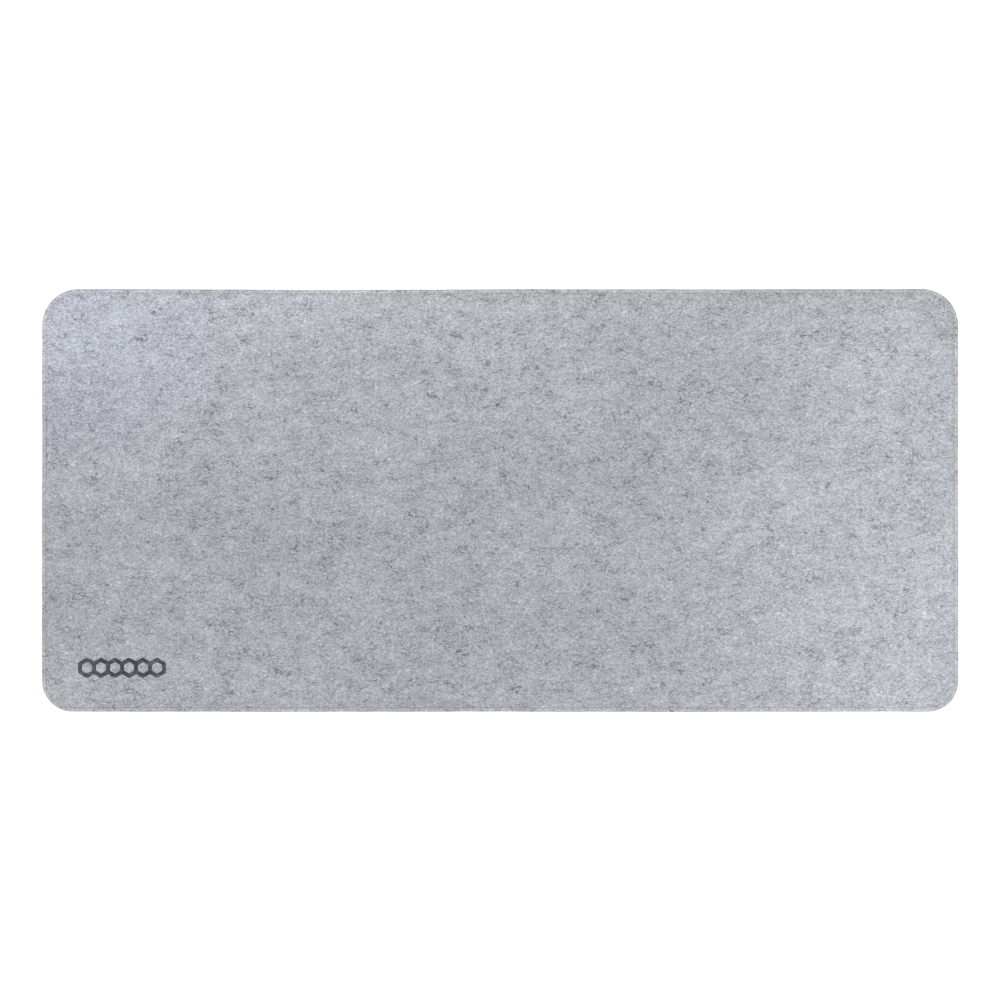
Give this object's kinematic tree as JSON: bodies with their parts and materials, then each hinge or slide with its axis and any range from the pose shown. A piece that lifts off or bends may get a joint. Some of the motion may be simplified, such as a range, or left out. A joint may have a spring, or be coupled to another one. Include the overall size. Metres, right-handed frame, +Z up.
{
  "type": "desk mat",
  "caption": "Thin rectangular felt desk mat with rounded corners, a bonded grip base, a seam sewn round the rim and a small printed device.",
  "frame": {"origin": "on the desk, under the middle of the mat", "axes": "+X along the width, +Y towards the rear edge, +Z up, out of the felt"},
  "size_m": [0.9, 0.415, 0.004],
  "materials": {
    "felt": "needled felt, heathered cool grey, matt",
    "bond_film": "milky hot-melt adhesive",
    "grip_base": "matt, finely textured underneath",
    "thread": "spun polyester, light grey",
    "print": "matt graphite transfer print"
  },
  "bodies": {
    "root": {"felt_top": "felt", "bond_film": "bond_film", "grip_base": "grip_base", "needle_thread": "thread", "bobbin_thread": "thread", "printed_device": "print"}
  },
  "joints": []
}
